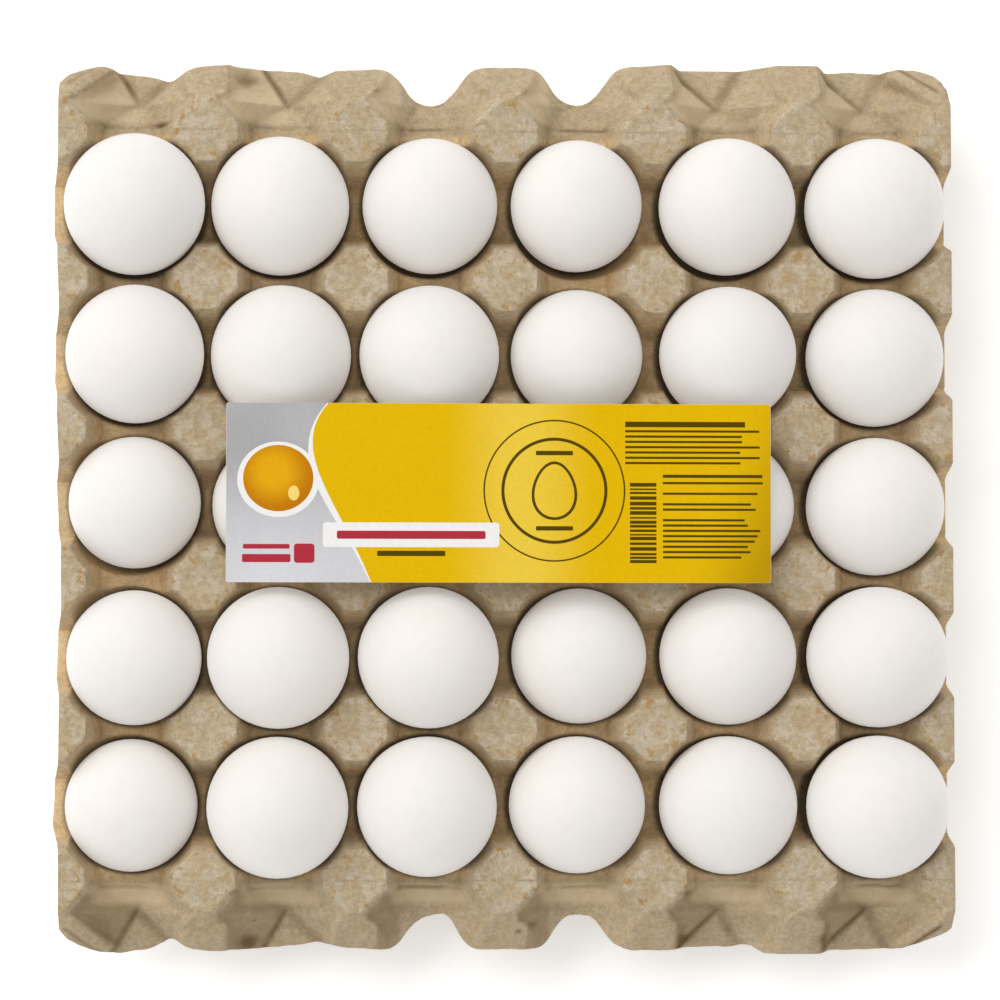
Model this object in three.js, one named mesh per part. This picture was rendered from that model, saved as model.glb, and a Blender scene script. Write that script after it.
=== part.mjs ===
// An open moulded-pulp tray of thirty hens' eggs, with a printed card lying on the middle row.
//
// X runs along the rows of eggs, Y across them and Z up. The tray stands on its cup floors at z = 0,
// centred on the origin. Its top is one sheet of flat facets, worked out cell by cell, which is then
// thickened downwards, so the posts are hollow from below as they are in pressed pulp.

import * as THREE from "three";

// ---------------------------------------------------------------- driving dimensions, millimetres
const COLUMNS = 6;
const ROWS = 5;
const PITCH = 49; // from one cup to the next, both ways
const HALF = PITCH / 2;
const WALL = 1.6; // thickness of the pulp

const FLOOR_RADIUS = 10; // flat floor of a cup
const KNEE_RADIUS = 21.7; // where the cup wall turns steeper
const KNEE_HEIGHT = 24; // which is also the level of the low saddles between the cups of a row
const HIGH_SADDLE = 30; // level of the saddles between one row and the next
const HIGH_SADDLE_RADIUS = 23.4; // distance of its ends from the middle of the cup
const HIGH_SADDLE_HALF = 1.4; // half its width at the middle
const POST_HEIGHT = 47;
const POST_REACH = 10.5; // from the middle of a post to its cut corners
const POST_CORNER = 3; // half the width of a cut corner
const WALL_ANGLES = [0, 25, 45, 65, 90]; // degrees, the corners of a quarter of a cup's rings

const CUT_POST_REACH = 23.9; // side edges, from the middle of the end cups: across the half posts
const CUT_SADDLE_REACH = 26.2; // and at the low saddles, where the edge bulges

const BAND = 3; // flange, outwards from the line of the last posts: end of the saddle band
const CREASE = 14.4; // where the ridge below a post turns into its rim patch
const RIM = 23.6; // outer edge of the rim patches
const RIM_LONG = 25.2; // the patch beside the last column stands further out than the others
const RIM_BETWEEN = 22.5; // the rim between the patches
const RIM_CUSP = 20.3; // and where it dips beside each lip
const PATCH_HALF = 7; // half the width of a rim patch
const CREASE_HEIGHT = 42;
const RIM_HEIGHT = 33.5;
const VALLEY_HEIGHT = 27; // bottom of the recess, at the tip of its lip
const VALLEY_REACH = 10.6;
const LIP_HEIGHT = 20.5; // outer edge of the lip
const LIP_TIP = 2.2; // the lip's tip lies this far towards the tray's middle
const LIP_INNER_HALF = 12.4; // its foot is wider on that side
const LIP_OUTER_HALF = 4.8;
const NOTCH_FOOT = 3.4; // half widths of the finger notches: at the bottom,
const NOTCH_KNEE = 6.3; // a little further out,
const NOTCH_MOUTH = 13; // and at the rim
const NOTCH_KNEE_REACH = 13.6;
const NOTCH_KNEE_RISE = 2; // above the bottom
const NOTCH_MOUTH_DROP = 3; // below the rim
// The cut corners of the flanges. Each point: from the middle of the end cup, outwards, height.
const CORNER_BEND = [17.5, 12.3, 43.5]; // the ridge of the half post turns here,
const CORNER_END = [7, 21, 33.5]; // and runs on to here, next to the lip's foot
const CORNER_EDGE = [CUT_POST_REACH, 15.2, 40]; // the outline: end of the side edge,
const CORNER_CUT = [19.5, 19.3, 38]; // along the cut,
const CORNER_RIM = [9.1, 23.4, 33.5]; // and where it meets the rim

const EGG_WIDTHS = [
  [46.0, 45.3, 44.4, 43.2, 45.0, 46.0],
  [45.2, 45.9, 45.8, 43.4, 44.9, 45.3],
  [43.1, 44.6, 44.6, 44.6, 44.6, 45.4], // the four that carry the card are alike
  [43.9, 46.1, 46.0, 44.3, 44.8, 46.2],
  [43.1, 46.0, 45.6, 44.6, 45.1, 46.6],
];
const EGG_SHAPE = 56 / 44.8; // length over width of a middling egg
const EGG_SHAPE_SPREAD = 0.025;
const EGG_TAPER = 0.12; // how far the widest place lies above half the length
const ROW_LEANS = [1.4, 0.9, 0.3, -1.1, -1]; // degrees that the eggs of each row lean to the far side
const COLUMN_LEANS = [1.6, -0.4, -1, -0.5, 0.1, 0.7]; // and those of each column to the right
const EGG_LEAN = 1; // degrees, the most that one leans further than its neighbours
const EGG_GAP = 0.35; // clearance to the cup
const EGG_SIDES = 16;
const EGG_BANDS = 7;
const SEED = 69;

const CARD = { width: 176.4, depth: 58, thickness: 0.5, x: -2.9, y: 2.9, corner: 0.8 };
const CARD_GAP = 0.3; // clearance to the eggs that carry it
const CARD_ROW = 2; // the row under the card, counted from the far side, from 0
const CARD_COLUMNS = [1, 2, 3, 4];

// ---------------------------------------------------------------- materials
const pulp = new THREE.MeshStandardMaterial({ color: 0xbca88c, roughness: 0.95, metalness: 0 });
const shell = new THREE.MeshStandardMaterial({ color: 0xf3efe9, roughness: 0.55, metalness: 0 });
const print = new THREE.MeshStandardMaterial({ color: 0xe8bb08, roughness: 0.35, metalness: 0 });

const tray = new THREE.Group();

// ---------------------------------------------------------------- a sheet of facets
// Facets share corners that lie at the same place. The sheet never folds under itself, so every
// facet faces up, whichever way round its points are given.
class Sheet {
  corners = [];
  triangles = [];
  numbers = new Map();

  corner(point) {
    const key = point.map((value) => Math.round(value * 1000)).join();
    if (!this.numbers.has(key)) {
      this.numbers.set(key, this.corners.length);
      this.corners.push(new THREE.Vector3(...point));
    }
    return this.numbers.get(key);
  }

  // A facet as a fan of triangles from its first point.
  facet(...points) {
    const ring = points.map((point) => this.corner(point));
    for (let i = 1; i + 1 < ring.length; i++) {
      const [a, b, c] = [ring[0], ring[i], ring[i + 1]];
      const faces = this.normal([a, b, c]);
      this.triangles.push(faces.z > 0 ? [a, b, c] : [a, c, b]);
    }
  }

  normal([a, b, c]) {
    const [p, q, r] = [this.corners[a], this.corners[b], this.corners[c]];
    return q.clone().sub(p).cross(r.clone().sub(p)).normalize();
  }

  // Where each corner goes on the underside: `thickness` below every facet that meets in it.
  undersides(thickness) {
    const flatness = 0.02; // keeps the step short where the facets are nearly in one plane
    const sums = this.corners.map(() => ({ square: new Array(9).fill(0), side: [0, 0, 0] }));
    for (const triangle of this.triangles) {
      const n = this.normal(triangle).toArray();
      for (const c of triangle) {
        for (let row = 0; row < 3; row++) {
          sums[c].side[row] -= thickness * n[row];
          for (let column = 0; column < 3; column++) {
            sums[c].square[3 * row + column] += n[row] * n[column];
          }
        }
      }
    }
    return sums.map(({ square, side }, c) => {
      for (const diagonal of [0, 4, 8]) square[diagonal] += flatness;
      const step = new THREE.Vector3(...side).applyMatrix3(new THREE.Matrix3(...square).invert());
      return step.add(this.corners[c]);
    });
  }

  // The closed solid between the sheet and its underside.
  solid(thickness) {
    const count = this.corners.length;
    const below = this.undersides(thickness);
    const edges = new Set(this.triangles.flatMap(([a, b, c]) => [`${a},${b}`, `${b},${c}`, `${c},${a}`]));
    const faces = [];
    for (const [a, b, c] of this.triangles) {
      faces.push(a, b, c, c + count, b + count, a + count);
    }
    for (const edge of edges) {
      const [a, b] = edge.split(",").map(Number);
      if (!edges.has(`${b},${a}`)) faces.push(b, a, a + count, b, a + count, b + count);
    }
    const geometry = new THREE.BufferGeometry().setFromPoints([...this.corners, ...below]);
    geometry.setIndex(faces);
    geometry.computeVertexNormals();
    return geometry;
  }
}

// ---------------------------------------------------------------- the tray
// One cup with the saddles and quarter posts round it. The outer columns end in the cut side edges.
function addCell(sheet, column, row) {
  const [middleX, middleY] = [cellX(column), cellY(row)];
  const floorRing = [];
  for (const sideX of [-1, 1]) {
    const isCut = (sideX < 0 && column === 0) || (sideX > 0 && column === COLUMNS - 1);
    const postEdge = isCut ? CUT_POST_REACH : HALF;
    const saddleEdge = isCut ? CUT_SADDLE_REACH : HALF;
    for (const sideY of [-1, 1]) {
      const at = (x, y, z) => [middleX + sideX * x, middleY + sideY * y, z];
      const ring = (radius, z) =>
        WALL_ANGLES.map((angle) => {
          const turn = THREE.MathUtils.degToRad(angle);
          return at(radius * Math.cos(turn), radius * Math.sin(turn), z);
        });
      const floor = ring(FLOOR_RADIUS, WALL);
      const knee = ring(KNEE_RADIUS, KNEE_HEIGHT);
      const [lowEnd, highEnd] = [ring(KNEE_RADIUS, 0)[1], ring(HIGH_SADDLE_RADIUS, 0)[3]];
      const lowReach = Math.abs(lowEnd[1] - middleY);
      const highReach = Math.abs(highEnd[0] - middleX);
      const highMiddle = at(0, HALF - HIGH_SADDLE_HALF, HIGH_SADDLE);
      highEnd[2] = HIGH_SADDLE;
      const postNear = HALF - POST_REACH;
      const postFar = HALF - POST_CORNER;
      const postA = at(postFar, postNear, POST_HEIGHT);
      const postB = at(postNear, postFar, POST_HEIGHT);

      floorRing.push(...floor);
      for (let i = 0; i + 1 < WALL_ANGLES.length; i++) {
        sheet.facet(floor[i], knee[i], knee[i + 1], floor[i + 1]);
      }
      sheet.facet(knee[2], knee[1], postA, postB, knee[3]);
      sheet.facet(knee[3], postB, highEnd, highMiddle, knee[4]);

      const lowEdge = at(saddleEdge, lowReach, KNEE_HEIGHT);
      const highEdge = at(highReach, HALF, HIGH_SADDLE);
      const postLowEdge = at(postEdge, postNear, POST_HEIGHT);
      const postHighEdge = at(postNear, HALF, POST_HEIGHT);
      sheet.facet(knee[0], knee[1], lowEdge, at(saddleEdge, 0, KNEE_HEIGHT));
      sheet.facet(knee[1], postA, postLowEdge, lowEdge);
      sheet.facet(highMiddle, highEnd, highEdge, at(0, HALF, HIGH_SADDLE));
      sheet.facet(highEnd, postB, postHighEdge, highEdge);
      sheet.facet(at(postEdge, HALF, POST_HEIGHT), postLowEdge, postA, postB, postHighEdge);
    }
  }
  const round = (point) => Math.atan2(point[1] - middleY, point[0] - middleX);
  floorRing.sort((a, b) => round(a) - round(b));
  sheet.facet(...floorRing.filter((point, i) => i === 0 || round(point) - round(floorRing[i - 1]) > 1e-6));
}

// Half of the flange outside one cup of the first or last row: the outer quarter of the post, its
// ridge and rim patch, and the recess with either its lip or a finger notch.
function addFlangeHalf(sheet, column, sideY, sideX) {
  const middleX = cellX(column);
  const at = (x, reach, z) => [middleX + sideX * x, sideY * (cellY(0) + HALF + reach), z];
  const isCut = (sideX < 0 && column === 0) || (sideX > 0 && column === COLUMNS - 1);
  const isNotched = column === COLUMNS / 2 - 1 || column === COLUMNS / 2;
  const isInner = Math.sign(middleX) !== sideX;
  const isLong = middleX + sideX * HALF === (COLUMNS / 2 - 1) * PITCH;
  const rim = isLong ? RIM_LONG : RIM;
  const postEdge = isCut ? CUT_POST_REACH : HALF;
  const highReach = HIGH_SADDLE_RADIUS * Math.cos(THREE.MathUtils.degToRad(WALL_ANGLES[3]));

  const postSide = at(HALF - POST_REACH, POST_CORNER, POST_HEIGHT);
  const postTip = at(HALF - POST_CORNER, POST_REACH, POST_HEIGHT);
  const tipEdge = at(postEdge, POST_REACH, POST_HEIGHT);
  const bandMiddle = at(0, BAND, HIGH_SADDLE);
  const bandEnd = at(highReach, BAND, HIGH_SADDLE);
  const crease = isCut ? at(...CORNER_BEND) : at(HALF - PATCH_HALF, CREASE, CREASE_HEIGHT);
  const creaseEdge = at(postEdge, isCut ? CORNER_BEND[1] : CREASE, crease[2]);
  const patchEnd = isCut ? at(...CORNER_END) : at(HALF - PATCH_HALF, rim, RIM_HEIGHT);
  const tip = isInner ? LIP_TIP : -LIP_TIP;
  const valley = at(isNotched ? NOTCH_FOOT : tip, VALLEY_REACH, VALLEY_HEIGHT);

  sheet.facet(
    at(postEdge, 0, POST_HEIGHT),
    at(HALF - POST_REACH, 0, POST_HEIGHT),
    postSide,
    postTip,
    tipEdge,
  );
  sheet.facet(at(0, 0, HIGH_SADDLE), at(highReach, 0, HIGH_SADDLE), bandEnd, bandMiddle);
  sheet.facet(at(highReach, 0, HIGH_SADDLE), at(HALF - POST_REACH, 0, POST_HEIGHT), postSide, bandEnd);
  sheet.facet(valley, bandEnd, postSide, postTip, crease);
  sheet.facet(postTip, tipEdge, creaseEdge, crease);
  if (isCut) {
    sheet.facet(crease, creaseEdge, at(...CORNER_EDGE), at(...CORNER_CUT), at(...CORNER_RIM), patchEnd);
  } else {
    sheet.facet(crease, creaseEdge, at(HALF, rim, RIM_HEIGHT), patchEnd);
  }
  if (isNotched) {
    const knee = at(NOTCH_KNEE, NOTCH_KNEE_REACH, VALLEY_HEIGHT + NOTCH_KNEE_RISE);
    const mouth = at(NOTCH_MOUTH, RIM_BETWEEN, RIM_HEIGHT - NOTCH_MOUTH_DROP);
    sheet.facet(valley, bandEnd, bandMiddle, at(0, VALLEY_REACH - 0.4, VALLEY_HEIGHT));
    sheet.facet(crease, valley, knee, mouth, patchEnd);
  } else {
    const lipFoot = isInner
      ? at(LIP_INNER_HALF, RIM_CUSP, LIP_HEIGHT)
      : at(LIP_OUTER_HALF, RIM_BETWEEN, LIP_HEIGHT);
    sheet.facet(valley, bandEnd, bandMiddle);
    sheet.facet(crease, valley, lipFoot, patchEnd);
    if (isCut) sheet.facet(patchEnd, lipFoot, at(...CORNER_RIM));
    sheet.facet(valley, lipFoot, at(0, RIM_BETWEEN, LIP_HEIGHT));
  }
}

function cellX(column) {
  return (column - (COLUMNS - 1) / 2) * PITCH;
}

function cellY(row) {
  return ((ROWS - 1) / 2 - row) * PITCH;
}

function pulpTray() {
  const sheet = new Sheet();
  for (let column = 0; column < COLUMNS; column++) {
    for (let row = 0; row < ROWS; row++) addCell(sheet, column, row);
    for (const sideY of [-1, 1]) {
      for (const sideX of [-1, 1]) addFlangeHalf(sheet, column, sideY, sideX);
    }
  }
  const mesh = new THREE.Mesh(sheet.solid(WALL), pulp);
  mesh.name = "pulp_tray";
  return mesh;
}

// ---------------------------------------------------------------- the eggs
function seededRandom(seed) {
  let state = seed;
  return () => {
    state = (state * 1664525 + 1013904223) % 4294967296;
    return state / 4294967296;
  };
}

// An egg standing on its small end, from (0, 0, 0) up. The outline is a circle drawn out to the
// length and made fuller above the middle than below it.
function eggGeometry(width, length) {
  const outline = [];
  for (let i = 0; i <= EGG_BANDS; i++) {
    const turn = (Math.PI * i) / EGG_BANDS;
    const radius = (width / 2) * Math.sin(turn) * (1 - EGG_TAPER * Math.cos(turn));
    outline.push(new THREE.Vector2(Math.max(radius, 0), (length / 2) * (1 - Math.cos(turn))));
  }
  outline[0].x = 0;
  outline[EGG_BANDS].x = 0;
  return new THREE.LatheGeometry(outline, EGG_SIDES).rotateX(Math.PI / 2);
}

// Height of the cup wall at a distance from the cup's middle, taken where its facets reach furthest in.
function cupHeight(distance) {
  const flat = Math.cos(THREE.MathUtils.degToRad(WALL_ANGLES[1] / 2));
  const steps = [
    [FLOOR_RADIUS * flat, WALL],
    [KNEE_RADIUS * flat, KNEE_HEIGHT],
    [HIGH_SADDLE_RADIUS * flat - 0.2, HIGH_SADDLE],
    [PITCH * Math.SQRT1_2 - (POST_REACH + POST_CORNER) * Math.SQRT1_2, POST_HEIGHT],
  ];
  if (distance <= steps[0][0]) return WALL;
  let i = 1;
  while (i + 1 < steps.length && distance > steps[i][0]) i++;
  const [[fromRadius, fromHeight], [toRadius, toHeight]] = [steps[i - 1], steps[i]];
  return fromHeight + ((distance - fromRadius) / (toRadius - fromRadius)) * (toHeight - fromHeight);
}

// How high the egg's origin stands when the egg is let down into its cup until it nearly touches.
function seatHeight(geometry) {
  const points = geometry.getAttribute("position");
  let seat = 0;
  for (let i = 0; i < points.count; i++) {
    const distance = Math.hypot(points.getX(i), points.getY(i));
    seat = Math.max(seat, cupHeight(distance + EGG_GAP) + EGG_GAP - points.getZ(i));
  }
  return seat;
}

function addEggs(group) {
  const random = seededRandom(SEED);
  const about = (spread) => spread * (2 * random() - 1);
  const tops = [];
  for (let row = 0; row < ROWS; row++) {
    for (let column = 0; column < COLUMNS; column++) {
      const carriesCard = row === CARD_ROW && CARD_COLUMNS.includes(column);
      const share = carriesCard ? 0 : 1; // the eggs under the card have one length and stand upright
      const width = EGG_WIDTHS[row][column];
      const length = width * (EGG_SHAPE + share * about(EGG_SHAPE_SPREAD));
      const leanRight = share * THREE.MathUtils.degToRad(COLUMN_LEANS[column] + about(EGG_LEAN));
      const leanFar = share * THREE.MathUtils.degToRad(ROW_LEANS[row] + about(EGG_LEAN));
      const geometry = eggGeometry(width, length)
        .rotateY(leanRight)
        .rotateX(-leanFar);
      const seat = seatHeight(geometry);
      const egg = new THREE.Mesh(geometry, shell);
      egg.name = `egg_r${row + 1}_c${column + 1}`;
      egg.position.set(cellX(column), cellY(row), seat);
      group.add(egg);
      if (carriesCard) tops.push(seat + length);
    }
  }
  return Math.max(...tops);
}

// ---------------------------------------------------------------- the card
function printedCard(restsOn) {
  const { width, depth, thickness, x, y, corner } = CARD;
  const outline = new THREE.Shape();
  outline.moveTo(-width / 2 + corner, -depth / 2);
  outline.lineTo(width / 2 - corner, -depth / 2);
  outline.absarc(width / 2 - corner, -depth / 2 + corner, corner, -Math.PI / 2, 0);
  outline.absarc(width / 2 - corner, depth / 2 - corner, corner, 0, Math.PI / 2);
  outline.absarc(-width / 2 + corner, depth / 2 - corner, corner, Math.PI / 2, Math.PI);
  outline.absarc(-width / 2 + corner, -depth / 2 + corner, corner, Math.PI, 1.5 * Math.PI);
  const geometry = new THREE.ExtrudeGeometry(outline, {
    depth: thickness,
    bevelEnabled: false,
    curveSegments: 3,
  });
  const card = new THREE.Mesh(geometry, print);
  card.name = "label_card";
  card.position.set(x, y, restsOn + CARD_GAP);
  return card;
}

tray.add(pulpTray());
const eggTops = addEggs(tray);
tray.add(printedCard(eggTops));

export default tray;
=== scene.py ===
"""A moulded pulp tray of thirty white hens' eggs with a printed card lying across it."""

import math

import bpy
import numpy as np
from mathutils import Matrix, Vector


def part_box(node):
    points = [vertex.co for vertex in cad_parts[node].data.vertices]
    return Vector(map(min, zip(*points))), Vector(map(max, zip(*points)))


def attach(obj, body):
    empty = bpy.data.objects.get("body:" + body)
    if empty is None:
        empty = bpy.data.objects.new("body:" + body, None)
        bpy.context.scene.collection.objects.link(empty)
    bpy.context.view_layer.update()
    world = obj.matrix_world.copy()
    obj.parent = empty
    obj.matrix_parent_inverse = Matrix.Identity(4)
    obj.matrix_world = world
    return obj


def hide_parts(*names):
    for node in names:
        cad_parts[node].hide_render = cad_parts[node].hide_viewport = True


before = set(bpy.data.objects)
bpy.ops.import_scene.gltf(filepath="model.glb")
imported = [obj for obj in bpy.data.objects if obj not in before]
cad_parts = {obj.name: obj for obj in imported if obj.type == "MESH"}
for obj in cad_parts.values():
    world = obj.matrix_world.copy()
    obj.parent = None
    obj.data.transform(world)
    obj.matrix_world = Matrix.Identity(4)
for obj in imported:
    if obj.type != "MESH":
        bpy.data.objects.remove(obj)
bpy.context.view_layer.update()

MM = 0.001

# ---- sizes, in millimetres
COLUMNS = 6
ROWS = 5
NOTCHED = (COLUMNS // 2 - 1, COLUMNS // 2)  # columns with a finger notch in the flanges beside them
PITCH = 49.0
HALF = PITCH / 2
WALL = 1.6
POST = 47.0  # height of the flat post tops
POST_REACH = 10.5  # half a post top, measured along the rows
POST_TIP = (2.2, 10.0)  # corner of an outermost post's top: along the rows, and outwards
POST_SHOULDER = 1.8  # and how far out its widest part runs
HIGH_SADDLE = 30.0  # ridge between cells of neighbouring rows
LOW_SADDLE = 24.0  # ridge between cells of neighbouring columns
HIGH_RUN, LOW_RUN = 4.21, 4.93  # how far, in plan, a post's side takes to come down to each of them
FLOOR_RADIUS = 10.0
KNEE_RADIUS = 21.7  # where the cup's cone turns into its steep upper wall
KNEE_HEIGHT = 24.0
CUP_RADIUS = 25.3  # the cup's mouth, which cuts the corners off the post tops
LAST_POST = 122.5  # the outermost line of posts, where the flanges start
SIDE = 147.0  # the line of half posts at each side
BAND = 3.0  # width of the level band beside the outer cups, where each flange starts
CREASE, CREASE_HEIGHT = 14.4, 42.0  # where a post's ridge turns down into its rim patch
RIM, RIM_HEIGHT = 23.6, 33.5  # where the rim patch ends
RIM_LONG = 25.2  # the farthest that the rim runs out
PATCH = 7.0  # half the width of a rim patch


# ---- small numeric helpers
def smooth(t):
    t = np.clip(t, 0.0, 1.0)
    return t * t * (3 - 2 * t)


def table_of(v, points):
    """Straight lines through (place, value) pairs."""
    places, values = zip(*points)
    return np.interp(v, places, values)


def hashed(ix, iy, seed):
    """A repeatable number from -1 to 1 for each pair of whole numbers."""
    n = ix.astype(np.int64) * 374761393 + iy.astype(np.int64) * 668265263
    n = (n + seed * 974634777) & 0xFFFFFFFF
    n = ((n ^ (n >> 13)) * 1274126177) & 0xFFFFFFFF
    n = ((n ^ (n >> 16)) * 2246822519) & 0xFFFFFFFF
    n = n ^ (n >> 15)
    return (n & 0xFFFFFF) / float(0x7FFFFF) - 1.0


def noise(x, y, scale, seed):
    """Smooth value noise from -1 to 1 with features about scale wide."""
    u, v = np.asarray(x) / scale, np.asarray(y) / scale
    iu, iv = np.floor(u), np.floor(v)
    fu, fv = smooth(u - iu), smooth(v - iv)
    a, b = hashed(iu, iv, seed), hashed(iu + 1, iv, seed)
    c, d = hashed(iu, iv + 1, seed), hashed(iu + 1, iv + 1, seed)
    return (a * (1 - fu) + b * fu) * (1 - fv) + (c * (1 - fu) + d * fu) * fv


# ---- the tray as heights over its plan
def column_middle(column):
    return (column - (COLUMNS - 1) / 2) * PITCH


def row_middle(row):
    return (row - (ROWS - 1) / 2) * PITCH


def outwards(y):
    """Distance out from the last line of posts."""
    return np.abs(y) - LAST_POST


def lowered(height, slope, under):
    """A face of the top, or the same face seen from below, one wall thickness in."""
    return height - WALL * np.sqrt(1 + np.square(slope)) if under else height


def cup_height(x, y, under):
    """The round cup that a point lies in: floor, cone and steep upper wall."""
    column = np.clip(np.floor((x + SIDE) / PITCH), 0, COLUMNS - 1)
    row = np.clip(np.floor((y + LAST_POST) / PITCH), 0, ROWS - 1)
    out = np.hypot(x - column_middle(column), y - row_middle(row))
    cone_slope = (KNEE_HEIGHT - WALL) / (KNEE_RADIUS - FLOOR_RADIUS)
    steep_slope = (POST - KNEE_HEIGHT) / (CUP_RADIUS - KNEE_RADIUS)
    floor = lowered(np.full_like(out, WALL), 0, under)
    cone = lowered(WALL + (out - FLOOR_RADIUS) * cone_slope, cone_slope, under)
    steep = lowered(KNEE_HEIGHT + (out - KNEE_RADIUS) * steep_slope, steep_slope, under)
    return np.maximum(floor, np.maximum(cone, steep))


def ridge_height(x, y, under):
    """The net of posts and saddles that stands between the cups."""
    dx = np.abs(x - np.clip(np.round(x / PITCH), -3, 3) * PITCH)
    dy = np.abs(y - HALF - np.clip(np.round((y - HALF) / PITCH), -3, 2) * PITCH)

    def ridge(away, saddle, run):
        slope = (POST - saddle) / run
        side = lowered(POST - (away - POST_REACH) * slope, slope, under)
        return np.maximum(side, lowered(saddle, 0, under))

    high, low = ridge(dx, HIGH_SADDLE, HIGH_RUN), ridge(dy, LOW_SADDLE, LOW_RUN)
    return np.minimum(np.where(dx > dy, high, low), lowered(POST, 0, under))


# Along the flanges each post runs on outwards as a ridge that ends in a rim patch, with a recess
# on either side of it. The recess has a folded lip at the rim, or a finger notch. The corners of
# the facets are given as distance from the post's own line, distance out from the last line of
# posts, and height; OUT lies beyond the rim, where the surface is cut off.
OUT = 26.5
SADDLE_END = POST_REACH + HIGH_RUN
VALLEY, VALLEY_HEIGHT = 10.6, 27.0  # where the recess is lowest
LIP_TIP = 2.2  # from the middle of the cell towards the tray's middle
LIP_FEET = [(12.4, 20.3), (-4.8, 22.4)]  # ends of its two folds, from the same middle and outwards
LIP_SLOPE = 0.55
PATCH_SLOPE = (CREASE_HEIGHT - RIM_HEIGHT) / (RIM - CREASE)


def lip_level(v):
    """Height of the lip, which falls from the valley to the rim."""
    return VALLEY_HEIGHT - LIP_SLOPE * (v - VALLEY)


def cell_facets(kind):
    """Facets of the flange outside one cell: "plain", "end" with the cut corner, or "notched"."""
    facets = []
    for inner in (True, False):

        def at(p, v, z):
            return (HALF - p if inner else p - HALF, v, z)

        post_side, tip = at(POST_REACH, POST_SHOULDER, POST), at(*POST_TIP, POST)
        tip_edge = at(0, POST_TIP[1], POST)
        band_end, band_middle = at(SADDLE_END, BAND, HIGH_SADDLE), (0, BAND, HIGH_SADDLE)
        crease, crease_edge = at(PATCH, CREASE, CREASE_HEIGHT), at(0, CREASE, CREASE_HEIGHT)
        far_patch = CREASE_HEIGHT - PATCH_SLOPE * (OUT - CREASE)
        patch_end, patch_edge = at(PATCH, OUT, far_patch), at(0, OUT, far_patch)
        top_end, foot_end = at(POST_REACH, 0, POST), at(SADDLE_END, 0, HIGH_SADDLE)
        facets += [[at(0, 0, POST), top_end, post_side, tip, tip_edge],
                   [top_end, foot_end, band_end, post_side],
                   [foot_end, (0, 0, HIGH_SADDLE), band_middle, band_end]]
        shoulder, bay = at(13.4, 4.4, 33.0), at(6.6, 11.2, 40.8)
        bay = at(7.6, 10.4, 40.6) if kind == "end" and not inner else bay
        side = at(10.2, 16.0, 33.0) if kind == "notched" else at(10.4, 17.4, 29.0)
        if kind == "notched":
            valley = at(21.1, VALLEY, VALLEY_HEIGHT)
            knee, mouth = at(18.2, 13.6, 28.6), at(11.5, 22.5, 30.0)
            middle = (0, VALLEY - 0.4, VALLEY_HEIGHT)
            mouth_out = at(12.0, OUT, 28.0)
            facets += [[valley, band_end, band_middle, middle], [side, valley, knee, mouth],
                       [crease, side, mouth, patch_end], [mouth, mouth_out, patch_end],
                       [middle, valley, knee, mouth, mouth_out, (0, OUT, 24.0)]]
        else:
            valley = (LIP_TIP, VALLEY, VALLEY_HEIGHT)
            foot_t, foot_v = LIP_FEET[0 if inner else 1]
            foot = (foot_t, foot_v, lip_level(foot_v))
            foot_out = (foot_t + (1.2 if inner else -1.2), OUT, lip_level(OUT))
            facets += [[valley, band_end, band_middle], [valley, foot, foot_out, (0, OUT, lip_level(OUT))]]
        facets += [[valley, band_end, shoulder], [valley, shoulder, bay], [post_side, band_end, shoulder],
                   [post_side, shoulder, bay, tip]]
        if kind == "end" and not inner:
            bend, bend_out = at(7, 12.3, 43.5), at(4.9, 15.1, 43.0)
            last, last_out = at(17.5, 21.0, 33.5), at(15.4, 23.8, 33.0)
            edge, low_edge = at(0, 13.0, 43.0), at(0, 17, 37)
            low, low_out = at(2.6, 20.6, 36), at(13.5, OUT, 27)
            pit = at(19.0, 19.2, 23.6)
            facets += [[tip, bay, bend], [bend, bay, pit, last], [valley, bay, pit], [valley, pit, foot],
                       [last, pit, foot], [tip, tip_edge, edge, bend_out, bend],
                       [bend, bend_out, last_out, last], [edge, low_edge, low, bend_out],
                       [bend_out, low, low_out, last_out], [last, last_out, low_out, foot_out, foot]]
        else:
            facets += [[tip, tip_edge, crease_edge, crease], [crease, crease_edge, patch_edge, patch_end]]
            if kind == "notched":
                facets += [[tip, bay, side, crease], [valley, bay, side]]
            else:
                facets += [[tip, bay, crease], [bay, valley, side, crease], [valley, side, foot],
                           [crease, side, patch_end], [side, foot, foot_out, patch_end]]
    return facets


def on_facets(t, v, facets, under):
    """Height at distance t from the cell's middle, towards the tray's middle, and v outwards."""
    height = np.full(np.shape(t), HIGH_SADDLE)
    for facet in facets:
        for second, third in zip(facet[1:], facet[2:]):
            (ta, va, za), (tb, vb, zb), (tc, vc, zc) = facet[0], second, third
            area = (tb - ta) * (vc - va) - (tc - ta) * (vb - va)
            if abs(area) < 1e-6:
                continue
            share_b = ((t - ta) * (vc - va) - (tc - ta) * (v - va)) / area
            share_c = ((tb - ta) * (v - va) - (t - ta) * (vb - va)) / area
            inside = (share_b > -1e-6) & (share_c > -1e-6) & (share_b + share_c < 1 + 1e-6)
            slope_t = ((zb - za) * (vc - va) - (zc - za) * (vb - va)) / area
            slope_v = ((zc - za) * (tb - ta) - (zb - za) * (tc - ta)) / area
            plane = za + share_b * (zb - za) + share_c * (zc - za)
            plane = lowered(plane, math.hypot(slope_t, slope_v), under)
            height = np.where(inside, plane, height)
    return height


FACETS = {kind: cell_facets(kind) for kind in ("plain", "end", "notched")}


def cell_kind(column):
    """Which of the three kinds of flange a column ends in."""
    if column in (0, COLUMNS - 1):
        return "end"
    return "notched" if column in NOTCHED else "plain"


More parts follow.
